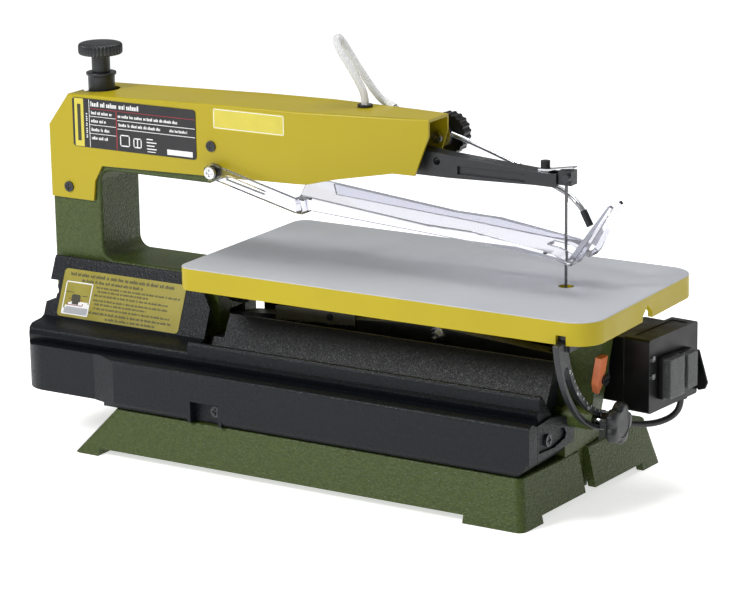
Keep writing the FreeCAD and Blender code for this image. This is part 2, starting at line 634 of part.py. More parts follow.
def trunnions():
    x, thick = dim("arc_x").value, dim("arc_thick").value
    inner, outer = dim("arc_inner").value, dim("arc_outer").value
    arc = sector(x, thick, inner, outer, 14.5, 82)
    slot = sector(x - 1, thick + 2, 89, 96.2, 17.3, 67)
    ends = [rod("X", x - 1, -92.6 * math.sin(math.radians(a)), 159 - 92.6 * math.cos(math.radians(a)), 3.6, 7)
            for a in (17.3, 67)]
    lug = block(dim("arc_x") - 4, dim("arc_x") + 8, -85.8, -66, 138, 154)
    piece("front_trunnion", cut(fuse(arc, lug), slot, *ends))
    arc = sector(-108, 5, GUIDE_RADIUS - 8, GUIDE_RADIUS + 8, 4, 68)
    slot = sector(-109, 7, GUIDE_RADIUS - 3.3, GUIDE_RADIUS + 3.3, 13.8, 60)
    lug = block(-108, -103, -45, -29, 138, 154)
    ends = [rod("X", -109, -GUIDE_RADIUS * math.sin(math.radians(a)),
                159 - GUIDE_RADIUS * math.cos(math.radians(a)), 3.3, 7) for a in (13.8, 60)]
    piece("rear_trunnion", cut(fuse(arc, lug), slot, *ends))
    guide = fuse(rod("X", dim("shoulder_end") - 8, *GUIDE, 3, 14), rod("X", -102.5, *GUIDE, 5, 2.5))
    piece("rear_guide_pin", fuse(guide, rod("X", -112, *GUIDE, 3, 10)))
    y, z = dim("stud_y"), dim("stud_z")
    piece("clamp_stud", rod("X", 208, y, z, dim("stud_radius"), 32.5))


def star_knob():
    y, z, radius = dim("stud_y"), dim("stud_z"), dim("star_radius")
    knob = rod("X", 235, y, z, radius, 8.5)
    cuts = []
    for i in range(5):
        angle = 2 * math.pi * (i + 0.5) / 5
        reach = radius.value + 4.2
        cuts.append(rod("X", 230, y + reach * math.cos(angle), z + reach * math.sin(angle), 7.4, 20))
    body = fuse(cut(knob, *cuts), rod("X", 226.8, y, z, 6.2, 9))
    piece("star_knob", cut(body, rod("X", 225, y, z, dim("stud_radius") + dim("running_gap"), 16)))


def tilt_pointer():
    lean = FreeCAD.Rotation(V(0, 1, 0), math.degrees(math.atan2(8.5, 51.5)))
    foot = V(215.25, 0, 88)
    slab = pad("YZ", [(-28.8, 10.5), (-23.4, 2), (-17.6, 9.5), (-17.6, 31.5), (-28.8, 31.5)], 0, 5)
    body = cut(slab, rod("X", -1, -17.6, 12.5, 1.6, 8))
    body.Placement = FreeCAD.Placement(foot, lean)
    piece("tilt_pointer", body)
    head = cut(rod("X", 5, -17.6, 12.5, 4.3, 2.6), block(6.6, 8, -23, -13, 12, 13))
    screw = fuse(head, rod("X", 0, -17.6, 12.5, 1.6, 6))
    screw.Placement = FreeCAD.Placement(foot, lean)
    piece("pointer_screw", screw)


# ---------------------------------------------------------------- switch box

def on_box(thing):
    """Turns an object drawn in the box's own frame to where the box stands."""
    held = group(thing)
    held.Placement = FreeCAD.Placement(
        V(dim("box_x").value, dim("box_y").value, dim("box_z").value),
        FreeCAD.Rotation(V(0, 0, -1), dim("box_turn").value))
    for axis, alias in zip("xyz", ("box_x", "box_y", "box_z")):
        held.setExpression("Placement.Base." + axis, "Dims." + alias)
    held.setExpression("Placement.Rotation.Angle", "Dims.box_turn * 1deg")
    return held


# The underside of the bracket follows the inside of the trunnion arc, which sweeps past it at full tilt.
NECK_OUTER = [(0.6, 4.9), (16, 7.3), (28, 11.2), (40, 17.4), (52, 22.5), (60, 25), (60, 56), (0.6, 56)]
NECK_INNER = [(2.6, 7.2), (15, 9.4), (27, 13.3), (39, 19.4), (51, 24.5), (58, 26.8), (58, 54), (2.6, 54)]


def switch_box():
    width, height, depth = dim("box_width"), dim("box_height"), dim("box_depth")
    body = rounded(block(-depth, 0, 0, width, 0, height), 2, lambda middle, line: abs(line.x) > 0.9)
    room = block(-depth + 2, 1, 2, width - 2, 2, height - 2)
    gland_hole = rod("Z", -10, 62, -1, 3.4, 5)
    recess = block(-depth + 4, -4, 8, width - 8, height - 0.6, height + 1)
    piece("switch_box", on_box(cut(body, room, gland_hole, recess)))
    windows = [block(-5, 1, low, high, base, top) for low, high, base, top in (POWER_HOLE, SPEED_HOLE)]
    screws = [(4.6, 28.5), (4.6, 42), (64.4, 28.5)]
    shanks = [rod("X", -4, y, z, 1.2, 6) for y, z in screws]
    panel = block(-2, 0, 2, width - 2, 2, height - 2)
    piece("switch_panel", on_box(cut(panel, *(windows + shanks))))
    heads = [fuse(screw_head("X", 0, y, z, 2.4, 1.3), rod("X", -2, y, z, 1.2, 2.2)) for y, z in screws]
    piece("box_screws", on_box(group(*heads)))
    neck = cut(pad("YZ", NECK_OUTER, -42, -depth.value), pad("YZ", NECK_INNER, -40, 1 - depth.value))
    tab = block(203, 214, -2, 10, 92, 127)
    piece("switch_bracket", fuse(on_box(neck), tab))
    frames, boots = [], []
    for name, hole in (("power", POWER_HOLE), ("speed", SPEED_HOLE)):
        low, high, base, top = hole
        outer = block(0, 4.6, low - 2, high + 2, base - 2, top + 2)
        frame = cut(outer, block(-1, 6, low, high, base, top))
        frames.append(frame)
        boot = cut(block(4.6, 10.4, low - 1, high + 1, base - 1, top + 1),
                   block(4, 9.5, low, high, base, top))
        boots.append(boot)
        middle = (base + top) / 2
        side = [(-4, base + 1.2), (4, base + 1.2), (5.6, middle), (4, top - 1.2), (-4, top - 1.2)]
        piece(name + "_rocker", on_box(pad("XZ", side, low + 0.8, high - 0.8)))
    piece("switch_frames", on_box(group(*frames)))
    piece("switch_boots", on_box(group(*boots)))
    cheek = pad("XZ", [(-4, 34), (-4, 8), (1, 2), (7, 4), (9, 9), (1, 34)], width, width + 2)
    piece("box_side_guard", on_box(cheek))
    gland = on_box(fuse(rod("Z", -10, 62, -4, 5, 4), rod("Z", -10, 62, -1, 3.4, 4)))
    face = dim("beam_end")
    grommet = fuse(rod("X", face, 8, 57, 5, 4), rod("X", face - 8, 8, 57, 4, 8.5))
    piece("cable_glands", group(gland, grommet))


POWER_HOLE = (14.5, 33, 11, 39.5)
SPEED_HOLE = (39.5, 51.5, 13, 38.5)


# ---------------------------------------------------------------- guard and blower

GUARD_SIDE = [
    (-64, 216.4), (74, 203), (113, 202), (180, 193), (194, 187.5), (221, 229.6), (223.5, 227.9),
    (197, 184.4), (185.6, 189.5), (113, 198.6), (74, 199.6), (-64, 213),
]
GUARD_WALL = [
    (-38, 213.5), (74, 202.5), (113, 201.5), (180, 192.5), (194, 187), (197, 184.6), (185.6, 187.6),
    (113, 193.6), (30, 198.4), (-35, 202),
]


def guard():
    x, z, half, thick = dim("guard_x"), dim("guard_z"), dim("guard_half"), dim("guard_thick")
    gap = dim("running_gap")
    panel = pad("XZ", GUARD_SIDE, -half, half)
    slot = block(168, 240, -6, 6, 180, 240)
    rear_edge = pad("XY", [(-39, -26), (-37, -26), (-62, 26), (-90, 26), (-90, -26)], 190, 240)
    toe = [pad("XY", [(193, side * 26), (225, side * 9), (225, side * 26)], 180, 240) for side in (-1, 1)]
    panel = cut(panel, slot, rear_edge, *toe)
    tilted = pad("YZ", [(12, 177), (30, 195), (30, 168), (12, 168)], 150, 240)
    walls = [pad("XZ", GUARD_WALL, -half, -half + thick), pad("XZ", GUARD_WALL, half - thick, half)]
    arm_side = [(-113, 231), (-108, 231.5), (-36, 213.5), (-27, 212.4), (-28, 201.5), (-35, 202),
                (-110, 220.5), (-115, 221)]
    arm = fuse(pad("XZ", arm_side, -38, -34.4), rod("Y", x, -38, z, 7, 3.6))
    window = pad("XZ", [(-98, 225), (-62, 215.8), (-62, 213.2), (-98, 221.5)], -40, -33)
    bridge = pad("XZ", [(-36, 213.5), (-27, 212.4), (-28, 201.5), (-35, 202)], -38, -half + thick)
    bore = rod("Y", x, -40, z, gap + 2.5, 8)
    piece("blade_guard", cut(fuse(panel, *(walls + [cut(arm, window), bridge])), bore, tilted))
    piece("guard_boss", cut(rod("Y", x, -34.1, z, 5.2, 4.6), rod("Y", x, -36, z, 2.5, 10)))
    shank = rod("Y", x, -40, z, 2.5, 12.4)
    piece("guard_screw", fuse(screw_head("Y", x, -40.8, z, 4.8, 2.5), shank))


def stick(start, end, radius, more=0):
    """A round bar from one point towards another, with an extra length past the end."""
    start, end = V(*start), V(*end)
    thing = doc.addObject("Part::Cylinder", "Stick")
    thing.Radius = radius
    thing.Height = (end - start).Length + more
    thing.Placement = FreeCAD.Placement(start, FreeCAD.Rotation(V(0, 0, 1), end - start))
    return thing


TUBE_ROUTE = [(17.6, 27, 278.2), (36, 23.2, 273.2), (66.7, 21.6, 264.8), (98, 22.6, 255.4), (129, 22, 245),
              (157, 20, 234), (178, 12, 229), (190, 9, 220), (196, 8, 210)]


def blower():
    tube = tube_path(TUBE_ROUTE, dim("tube_radius").value)
    piece("air_tube", tube)
    nozzle = cut(stick((190.6, 8.9, 219), TUBE_ROUTE[-1], 2.7, 2), tube)
    piece("air_nozzle", nozzle)
    clamp = cut(rod("Y", 64, 18.3, 262, 8, 6), rod("Y", 64, 16, 262, 2.5, 10), tube)
    piece("air_tube_clamp", clamp)
    stud = fuse(rod("Y", 64, 12, 262, 2.5, 22.9), rod("Y", 64, 9.6, 262, 4.4, 3.6))
    piece("air_knob_stud", cut(stud, tube))
    knob = rod("Y", 64, 25.2, 262, dim("air_knob_radius"), 10.8)
    cuts = []
    for i in range(20):
        angle = 2 * math.pi * i / 20
        reach = dim("air_knob_radius").value + 1.2
        cuts.append(rod("Y", 64 + reach * math.cos(angle), 24, 262 + reach * math.sin(angle), 2.2, 13))
    bore = rod("Y", 64, 24, 262, dim("running_gap") + 2.5, 11.2)
    piece("air_knob", cut(knob, bore, *cuts))


# ---------------------------------------------------------------- cords

def tube_path(route, radius):
    """A round cord: straight runs joined by tangent arcs, each as large as its two runs allow."""
    points = [V(*each) for each in route]
    edges, start, report = [], points[0], []
    for i in range(1, len(points) - 1):
        before, corner, after = points[i - 1], points[i], points[i + 1]
        inward = (before - corner).normalize()
        onward = (after - corner).normalize()
        turn = math.pi - inward.getAngle(onward)
        reach = 0.45 * min((before - corner).Length, (after - corner).Length)
        bend = reach / math.tan(turn / 2)
        first, last = corner + inward * reach, corner + onward * reach
        middle_way = (inward + onward).normalize()
        middle = corner + middle_way * (bend / math.cos(turn / 2) - bend)
        edges.append(Part.LineSegment(start, first).toShape())
        edges.append(Part.Arc(first, middle, last).toShape())
        report.append(round(bend, 1))
        start = last
    edges.append(Part.LineSegment(start, points[-1]).toShape())
    wire = Part.Wire(edges)
    section = Part.Wire(Part.makeCircle(radius, points[0], points[1] - points[0]))
    solid = wire.makePipeShell([section], True, False)
    print("bend radii", report, "length", round(wire.Length, 1),
          "volume ratio", round(solid.Volume / (math.pi * radius ** 2 * wire.Length), 3))
    thing = doc.addObject("Part::Feature", "Tube")
    thing.Shape = solid
    return thing


HOSE_ROUTE = [
    (1, 10, 282.2), (1, 10, 289.5), (-4, 9.4, 299), (-11.5, 8.3, 311.5), (-20.3, 7.3, 324),
    (-24.4, 9.8, 331), (-26, 16, 331.8), (-25, 21.2, 327), (-19.5, 24.4, 315.5), (-9.5, 26, 301),
    (0.5, 27.8, 287), (8.6, 27.9, 280.7), (17.6, 27, 278.2),
]
CABLE_ROUTE = [
    (246.54, 63.7, 67), (246.54, 63.7, 60), (241.5, 60, 52), (233, 51, 48.3), (225.5, 38.5, 49.5),
    (220, 26, 52.5), (215, 14.5, 56), (208.5, 8, 57), (200, 8, 57),
]


def cords():
    piece("air_hose", tube_path(HOSE_ROUTE, dim("hose_radius").value))
    piece("switch_cable", tube_path(CABLE_ROUTE, dim("cable_radius").value))
    elbow = cut(fuse(rod("Z", 1, 10, 274, 4, 6.2), rod("Z", 1, 10, 280.2, 6, 2)), rod("Z", 1, 10, 270, 1.5, 20))
    piece("hose_socket", elbow)


ORDER = (
    base_casting, base_bolts, frame_casting, pivot_pins, arm_cover, drive_housing, lower_drive,
    moving_arms, blade_parts, tension_parts, saw_table, trunnions, star_knob, tilt_pointer, switch_box,
    guard, blower, cords,
)
for build in ORDER:
    build()

doc.recompute()
os.makedirs("parts", exist_ok=True)
for thing in doc.Objects:
    if "Invalid" in thing.State or "Error" in thing.State:
        raise RuntimeError("%s failed: %s" % (thing.Label, thing.State))
for name, thing in pieces.items():
    shape = thing.Shape
    if shape.isNull() or not shape.isValid() or not shape.Solids:
        raise RuntimeError("bad shape: " + name)
    shape.exportStep("parts/%s.step" % name)
print(len(pieces), "parts written")
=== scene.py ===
import math

import bmesh
import bpy
from mathutils import Matrix, Vector


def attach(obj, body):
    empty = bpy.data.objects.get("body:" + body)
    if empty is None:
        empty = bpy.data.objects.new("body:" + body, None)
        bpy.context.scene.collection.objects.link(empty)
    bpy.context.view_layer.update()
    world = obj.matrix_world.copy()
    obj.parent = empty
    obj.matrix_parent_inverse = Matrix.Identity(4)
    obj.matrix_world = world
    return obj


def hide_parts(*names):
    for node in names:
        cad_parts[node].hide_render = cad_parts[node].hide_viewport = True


MM = 0.001
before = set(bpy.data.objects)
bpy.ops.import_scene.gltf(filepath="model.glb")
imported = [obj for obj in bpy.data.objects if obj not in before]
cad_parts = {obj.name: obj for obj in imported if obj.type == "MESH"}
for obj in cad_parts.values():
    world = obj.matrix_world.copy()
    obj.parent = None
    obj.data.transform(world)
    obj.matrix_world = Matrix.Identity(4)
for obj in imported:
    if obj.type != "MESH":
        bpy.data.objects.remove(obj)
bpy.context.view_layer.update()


# ------------------------------------------------------------------ camera, lights and floor

TABLE_END = Vector((0.248, 0, 0.162))
AZIMUTH, ELEVATION, ROLL = 31.336, 14.965, -0.836
SHIFT_RIGHT, SHIFT_UP, DISTANCE = 0.200381, -0.001316, 2.160525
SENSOR, LENS = 36, 140.74


def aim(camera):
    """Stands the camera off the middle of the table's front edge, seen from the near front corner."""
    a, e, r = (math.radians(each) for each in (AZIMUTH, ELEVATION, ROLL))
    look = -Vector((math.sin(a) * math.cos(e), -math.cos(a) * math.cos(e), math.sin(e)))
    level = look.cross(Vector((0, 0, 1))).normalized()
    upright = level.cross(look)
    right = level * math.cos(r) + upright * math.sin(r)
    up = upright * math.cos(r) - level * math.sin(r)
    spot = -look * DISTANCE - right * SHIFT_RIGHT - up * SHIFT_UP + TABLE_END
    turn = Matrix((right, up, -look)).transposed().to_4x4()
    camera.matrix_world = Matrix.Translation(spot) @ turn


def make_camera():
    data = bpy.data.cameras.new("camera")
    data.sensor_width = SENSOR
    data.lens = LENS
    data.clip_end = 20
    camera = bpy.data.objects.new("camera", data)
    bpy.context.scene.collection.objects.link(camera)
    aim(camera)
    bpy.context.scene.camera = camera


def area_light(name, spot, target, size, power):
    data = bpy.data.lights.new(name, "AREA")
    data.shape = "DISK"
    data.size = size
    data.energy = power
    lamp = bpy.data.objects.new(name, data)
    lamp.location = spot
    lamp.rotation_euler = (Vector(target) - Vector(spot)).to_track_quat("-Z", "Y").to_euler()
    bpy.context.scene.collection.objects.link(lamp)


WORLD_STRENGTH = 0.30
PAPER_GLOW = 0.62
PAPER_REACH = 6


def make_studio():
    """A white room: a glowing paper floor, a key light on the near side, and weaker front and top lights."""
    scene = bpy.context.scene
    scene.view_settings.view_transform = "Standard"
    world = bpy.data.worlds.new("studio")
    world.use_nodes = True
    sky = world.node_tree.nodes["Background"]
    sky.inputs["Color"].default_value = (1, 1, 1, 1)
    sky.inputs["Strength"].default_value = WORLD_STRENGTH
    scene.world = world
    area_light("key", (-0.8, -1.5, 1.35), (0, 0, 0.1), 0.6, 26)
    area_light("front", (1.7, -0.9, 0.7), (0.1, 0, 0.12), 0.6, 0.5)
    area_light("top", (0.1, 0.3, 1.7), (0, 0, 0.1), 1.0, 16)
    mesh = bpy.data.meshes.new("floor")
    far = PAPER_REACH
    mesh.from_pydata([(-far, -far, 0), (far, -far, 0), (far, far, 0), (-far, far, 0)], [], [(0, 1, 2, 3)])
    floor = bpy.data.objects.new("floor", mesh)
    scene.collection.objects.link(floor)
    paper = surface("floor_paper", (0.90, 0.90, 0.90), 0.9, mottle=(3, 0.01))
    glow = paper.node_tree.nodes["Principled BSDF"]
    glow.inputs["Emission Color"].default_value = (1, 1, 1, 1)
    glow.inputs["Emission Strength"].default_value = PAPER_GLOW
    mesh.materials.append(paper)


# ------------------------------------------------------------------ materials

COAT_ROUGHNESS = 0.12
CLEAR_IOR = 1.25
RIM_BLEND = 0.00005


def surface(name, color, rough, metal=0.0, grain=None, mottle=None, smudge=None, coat=0.0, clear=0.0,
            rim=None, specular=None):
    """A procedural finish. grain is rows of (scale per metre, strength, depth in metres). mottle varies
    the colour and smudge the roughness, each by (scale per metre, strength). rim is (height in metres,
    second colour), for a part that changes colour at a height."""
    mat = bpy.data.materials.new(name)
    mat.use_nodes = True
    nodes, links = mat.node_tree.nodes, mat.node_tree.links
    bsdf = nodes["Principled BSDF"]
    bsdf.inputs["Base Color"].default_value = (*color, 1)
    bsdf.inputs["Roughness"].default_value = rough
    bsdf.inputs["Metallic"].default_value = metal
    bsdf.inputs["Coat Weight"].default_value = coat
    bsdf.inputs["Coat Roughness"].default_value = COAT_ROUGHNESS
    bsdf.inputs["Transmission Weight"].default_value = clear
    if specular is not None:
        bsdf.inputs["Specular IOR Level"].default_value = specular
    if clear:
        bsdf.inputs["IOR"].default_value = CLEAR_IOR
    if not (grain or mottle or smudge or rim):
        return mat
    place = nodes.new("ShaderNodeTexCoord").outputs["Object"]

    def noise(scale, detail=3.0):
        node = nodes.new("ShaderNodeTexNoise")
        node.inputs["Scale"].default_value = scale
        node.inputs["Detail"].default_value = detail
        links.new(place, node.inputs["Vector"])
        return node.outputs["Fac"]

    def ramp(value, low, high, start=0.35, end=0.65):
        node = nodes.new("ShaderNodeMapRange")
        for key, number in zip(("From Min", "From Max", "To Min", "To Max"), (start, end, low, high)):
            node.inputs[key].default_value = number
        links.new(value, node.inputs["Value"])
        return node.outputs["Result"]

    tone = None
    if rim:
        height, second = rim
        split = nodes.new("ShaderNodeSeparateXYZ")
        links.new(place, split.inputs[0])
        blend = nodes.new("ShaderNodeMix")
        blend.data_type = "RGBA"
        above = ramp(split.outputs["Z"], 0.0, 1.0, height - RIM_BLEND, height + RIM_BLEND)
        links.new(above, blend.inputs["Factor"])
        blend.inputs["A"].default_value = (*color, 1)
        blend.inputs["B"].default_value = (*second, 1)
        tone = blend.outputs["Result"]
    if mottle:
        scale, strength = mottle
        shade = nodes.new("ShaderNodeHueSaturation")
        shade.inputs["Color"].default_value = (*color, 1)
        if tone:
            links.new(tone, shade.inputs["Color"])
        links.new(ramp(noise(scale), 1 - strength, 1 + strength), shade.inputs["Value"])
        tone = shade.outputs["Color"]
    if tone:
        links.new(tone, bsdf.inputs["Base Color"])
    if smudge:
        scale, strength = smudge
        links.new(ramp(noise(scale, 4.0), rough - strength, rough + strength), bsdf.inputs["Roughness"])
    if grain:
        chain = None
        for scale, strength, depth in grain:
            bump = nodes.new("ShaderNodeBump")
            bump.inputs["Strength"].default_value = strength
            bump.inputs["Distance"].default_value = depth
            links.new(noise(scale, 2.0), bump.inputs["Height"])
            if chain:
                links.new(chain, bump.inputs["Normal"])
            chain = bump.outputs["Normal"]
        links.new(chain, bsdf.inputs["Normal"])
    return mat


GREEN = surface("green_casting", (0.050, 0.072, 0.016), 0.36,
                grain=((560, 0.75, 0.0010), (1500, 0.45, 0.0003)),
                mottle=(380, 0.16), smudge=(700, 0.10), specular=0.3)
YELLOW = surface("yellow_shell", (0.400, 0.318, 0.006), 0.34, grain=((900, 0.12, 0.0001),),
                 mottle=(9, 0.03), smudge=(25, 0.05), coat=0.08, specular=0.3)
TABLE = surface("table_paint", (0.430, 0.342, 0.006), 0.36, grain=((1600, 0.25, 0.0001),),
                mottle=(14, 0.03), smudge=(40, 0.06), specular=0.3, rim=(0.16135, (0.460, 0.475, 0.505)))
BLACK = surface("black_plastic", (0.0050, 0.0062, 0.0090), 0.37,
                grain=((900, 0.65, 0.0006), (2200, 0.4, 0.0002)),
                mottle=(500, 0.2), smudge=(600, 0.10), specular=0.22)
BLACK_SMOOTH = surface("black_moulding", (0.0026, 0.0028, 0.0032), 0.36, grain=((2500, 0.15, 0.0001),),
                       mottle=(120, 0.1), smudge=(80, 0.06), specular=0.35)
KNOB = surface("knob_moulding", (0.0125, 0.014, 0.0155), 0.40, grain=((1800, 0.25, 0.0001),),
               smudge=(90, 0.06))
DARK = surface("dark_alloy", (0.010, 0.0115, 0.0140), 0.38, grain=((1200, 0.35, 0.0002),),
               mottle=(200, 0.15), smudge=(200, 0.08))
STEEL = surface("bright_steel", (0.60, 0.61, 0.63), 0.26, metal=1.0, grain=((1800, 0.10, 0.0001),),
                mottle=(90, 0.06), smudge=(120, 0.08))
BLADE = surface("blade_steel", (0.10, 0.10, 0.105), 0.35, metal=0.8, mottle=(300, 0.2),
                smudge=(300, 0.08))
COLLAR = surface("grey_collar", (0.035, 0.037, 0.041), 0.34, metal=0.5, mottle=(200, 0.1),
                 smudge=(150, 0.06))
ALLOY = surface("plate_aluminium", (0.45, 0.46, 0.47), 0.34, metal=1.0, grain=((700, 0.12, 0.0001),),
                mottle=(60, 0.06), smudge=(60, 0.08))
# The lower arm's machined face: partly its own lighter grey and partly painted light, raised to make up for
# the shade of the table over it.
ARM_FACE = surface("milled_face_painted_lighter", (0.105, 0.108, 0.104), 0.42, mottle=(90, 0.1), smudge=(90, 0.06))
BRASS = surface("bush_brass", (0.70, 0.50, 0.20), 0.32, metal=1.0, mottle=(120, 0.06),
                smudge=(150, 0.08))
LABEL_BLACK = surface("label_black", (0.004, 0.004, 0.006), 0.30, mottle=(40, 0.05), smudge=(60, 0.05))
LABEL_YELLOW = surface("label_yellow", (0.270, 0.230, 0.018), 0.36, mottle=(60, 0.05), smudge=(60, 0.06))
LABEL_YELLOW_BRIGHT = surface("label_pale_yellow", (0.58, 0.50, 0.055), 0.32, mottle=(60, 0.04),
                              smudge=(60, 0.05))
WHITE = surface("label_white", (0.78, 0.78, 0.78), 0.45, mottle=(80, 0.03), smudge=(80, 0.05))
GREY = surface("label_grey", (0.36, 0.37, 0.39), 0.45, mottle=(80, 0.05), smudge=(80, 0.05))
RED = surface("label_red", (0.25, 0.012, 0.02), 0.4, mottle=(80, 0.05), smudge=(80, 0.05))
INK = surface("label_ink", (0.030, 0.028, 0.010), 0.5, mottle=(80, 0.05), smudge=(80, 0.05))
ORANGE = surface("pointer_orange", (0.66, 0.185, 0.070), 0.38, mottle=(150, 0.06), smudge=(100, 0.06))
RUBBER = surface("cable_rubber", (0.012, 0.012, 0.014), 0.45, grain=((2000, 0.2, 0.0001),),
                 smudge=(90, 0.06))
CLEAR = surface("clear_plastic", (0.80, 0.805, 0.875), 0.05, clear=1.0, specular=0.6)
HOSE = surface("clear_hose", (0.80, 0.81, 0.81), 0.25, clear=0.35, smudge=(80, 0.05))
BOOT = surface("clear_boot", (0.30, 0.31, 0.31), 0.16, clear=0.80, smudge=(60, 0.05))

FINISHES = (
    (GREEN, "base_casting frame_casting"),
    (YELLOW, "arm_cover"),
    (TABLE, "saw_table"),
    (BLACK, "drive_housing far_cover"),
    (BLACK_SMOOTH, "switch_box switch_panel switch_frames power_rocker speed_rocker box_side_guard "
                   "air_knob tension_pad switch_bracket arm_front_screw"),
    (KNOB, "star_knob tension_knob"),
    (DARK, "air_nozzle upper_arm lower_arm front_trunnion rear_trunnion blade_holders motor_body"),
    (COLLAR, "tension_collar pointer_screw housing_screws cover_screws blade_clamp_screws "
             "blade_pivot_pins pivot_pins"),
    (ALLOY, "motor_plate connecting_rod"),
    (BLADE, "saw_blade"),
    (BRASS, "upper_arm_bush lower_arm_bush"),
    (LABEL_BLACK, "rating_plate"),
    (LABEL_YELLOW, "instruction_plate"),
    (ORANGE, "tilt_pointer"),
    (CLEAR, "blade_guard guard_boss"),
    (BOOT, "switch_boots"),
    (HOSE, "air_hose"),
    (RUBBER, "switch_cable cable_glands hose_socket"),
)
NODE_FINISH = {name: mat for mat, names in FINISHES for name in names.split()}


def finish_nodes():
    """Gives each CAD node its finish; the pins, screws and rods that are not listed are bright steel."""
    for name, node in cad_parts.items():
        mat = NODE_FINISH.get(name, STEEL)
        for spot in node.material_slots:
            spot.material = mat


# ------------------------------------------------------------------ mesh helpers

def link(name, mesh, mat, body, node=None):
    """Adds a mesh as a piece that rides a body, and that may stand for a CAD node."""
    piece = bpy.data.objects.new(name, mesh)
    bpy.context.scene.collection.objects.link(piece)
    mesh.materials.clear()
    mesh.materials.append(mat)
    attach(piece, body)
    if node:
        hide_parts(node)
    return piece


EDGE_ANGLE = math.radians(32)
FLAT_ANGLE = math.radians(1.5)
WELD = 0.02 * MM


def soft_edges(piece, width, segments):
    """Rounds a piece's sharp edges by a width in millimetres."""
    bevel = piece.modifiers.new("rounded_edges", "BEVEL")
    bevel.width = width * MM
    bevel.segments = segments
    bevel.limit_method = "ANGLE"
    bevel.angle_limit = EDGE_ANGLE
    bevel.use_clamp_overlap = True
    bevel.harden_normals = True
    normals = piece.modifiers.new("even_normals", "WEIGHTED_NORMAL")
    normals.keep_sharp = True


def softened(node, body, slot, width, segments):
    """A copy of a CAD node with its sharp edges rounded, standing for that node."""
    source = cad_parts[node]
    bm = bmesh.new()
    bm.from_mesh(source.data)
    bmesh.ops.remove_doubles(bm, verts=bm.verts, dist=WELD)
    bmesh.ops.dissolve_limit(bm, angle_limit=FLAT_ANGLE, verts=bm.verts, edges=bm.edges)
    for face in bm.faces:
        face.smooth = True
    for edge in bm.edges:
        if len(edge.link_faces) == 2:
            edge.smooth = edge.calc_face_angle() < EDGE_ANGLE
    mesh = bpy.data.meshes.new(node + "_skin")
    bm.to_mesh(mesh)
    bm.free()
    soft_edges(link(node + "_skin", mesh, NODE_FINISH[node], body, node), width, segments)


def bars(name, origin, right, up, rects, mat, body, slot, lift=0.05):
    """Flat printed marks: rects are (left, bottom, width, height) in millimetres on a tilted plane."""
    right, up = Vector(right).normalized(), Vector(up).normalized()
    normal = right.cross(up)
    corner = Vector(origin) + normal * lift
    points, faces = [], []
    for left, bottom, width, height in rects:
        start = len(points)
        for a, b in ((0, 0), (width, 0), (width, height), (0, height)):
            points.append((corner + right * (left + a) + up * (bottom + b)) * MM)
        faces.append((start, start + 1, start + 2, start + 3))
    mesh = bpy.data.meshes.new(name)
    mesh.from_pydata(points, [], faces)
    link(name, mesh, mat, body)


# ------------------------------------------------------------------ cords

def cord_curve(name, route, radius, mat, node):
    """A round cord along a route in millimetres, standing for its CAD node."""
    data = bpy.data.curves.new(name, "CURVE")
    data.dimensions = "3D"
    data.bevel_depth = radius * MM
    data.bevel_resolution = 6
    data.resolution_u = 12
    data.use_fill_caps = True
    line = data.splines.new("NURBS")
    line.points.add(len(route) - 1)
    for point, spot in zip(line.points, route):
        point.co = (*(Vector(spot) * MM), 1)
    line.use_endpoint_u = True
    line.order_u = 3
    data.materials.append(mat)
    piece = bpy.data.objects.new(name, data)
    bpy.context.scene.collection.objects.link(piece)
    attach(piece, "root")
    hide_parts(node)
    return piece


HOSE_ROUTE = [
    (1, 10, 282.2), (1, 10, 289.5), (-4, 9.4, 299), (-11.5, 8.3, 311.5), (-20.3, 7.3, 324),
    (-24.4, 9.8, 331), (-26, 16, 331.8), (-25, 21.2, 327), (-19.5, 24.4, 315.5), (-9.5, 26, 301),
    (0.5, 27.8, 287), (8.6, 27.9, 280.7), (17.6, 27, 278.2),
]
CABLE_ROUTE = [
    (246.54, 63.7, 67), (246.54, 63.7, 60), (241.5, 60, 52), (233, 51, 48.3), (225.5, 38.5, 49.5),
    (220, 26, 52.5), (215, 14.5, 56), (208.5, 8, 57), (200, 8, 57),
]


def make_cords():
    hose = cord_curve("clear_hose", HOSE_ROUTE, 3, HOSE, "air_hose")
    cable = cord_curve("box_cable", CABLE_ROUTE, 2.5, RUBBER, "switch_cable")


# ------------------------------------------------------------------ shells and castings

